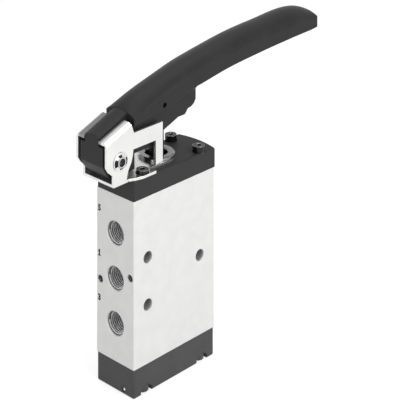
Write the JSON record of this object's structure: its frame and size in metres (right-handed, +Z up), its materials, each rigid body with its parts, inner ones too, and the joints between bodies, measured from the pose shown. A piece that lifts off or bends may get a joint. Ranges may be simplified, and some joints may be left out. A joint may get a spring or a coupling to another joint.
{
  "type": "hand lever air valve",
  "caption": "Hand lever air valve: ported aluminium block with end covers, sprung spool and a pivoting press-down lever in a bent sheet bracket.",
  "frame": {"origin": "centre of the bottom cover's underside, on the spool's axis", "axes": "+X from the face with three ports to the face with two ports and along the lever, +Y across the narrow way, +Z up along the spool"},
  "size_m": [0.1802, 0.0306, 0.1786],
  "materials": {
    "block_aluminium": "satin",
    "cover_black": "fine matt",
    "lever_black": "fine matt",
    "seal_rubber": "matt",
    "inner_plastic": "smooth",
    "spool_aluminium": "turned",
    "plunger_dark": "smooth",
    "spring_steel": "wire",
    "collar_grey": "anodised grey",
    "bracket_plated": "zinc plated",
    "clip_steel": "spring steel",
    "pin_steel": "turned",
    "screw_black": "black oxide"
  },
  "bodies": {
    "valve_body": {"valve_body": "block_aluminium", "top_cover": "cover_black", "bottom_cover": "cover_black", "top_cover_seal": "seal_rubber", "bottom_cover_seal": "seal_rubber", "spool_seal_1": "seal_rubber", "spool_seal_2": "seal_rubber", "spool_seal_3": "seal_rubber", "spool_seal_4": "seal_rubber", "spool_seal_5": "seal_rubber", "spool_seal_6": "seal_rubber", "spool_cage_1": "inner_plastic", "spool_cage_2": "inner_plastic", "spool_cage_3": "inner_plastic", "spool_cage_4": "inner_plastic", "spool_cage_5": "inner_plastic", "lower_end_ring": "inner_plastic", "upper_end_ring": "inner_plastic", "return_spring": "spring_steel", "plunger_guide": "inner_plastic", "plunger_wiper": "seal_rubber", "collar": "collar_grey", "bracket": "bracket_plated", "pivot_pin": "pin_steel", "pin_clip_near": "clip_steel", "pin_clip_far": "clip_steel", "top_cover_screws": "screw_black", "bottom_cover_screws": "screw_black"},
    "spool": {"spool": "spool_aluminium", "spring_seat": "spool_aluminium", "plunger": "plunger_dark"},
    "lever": {"lever": "lever_black"}
  },
  "joints": [
    {"name": "lever_hinge", "type": "hinge", "parent": "valve_body", "child": "lever", "pos_m": [-0.0396, 0, 0.1318], "axis": [0, 1, 0], "range_deg": [0, 8], "stiffness_Nm_per_rad": 3.92, "springref_deg": -8.71},
    {"name": "spool_slide", "type": "slide", "parent": "valve_body", "child": "spool", "axis": [0, 0, -1], "range_m": [0, 0.0056], "deforming": ["return_spring"]}
  ],
  "couplings": [
    {"joint": "spool_slide", "follows": "lever_hinge", "m_per_rad": 0.0396}
  ]
}
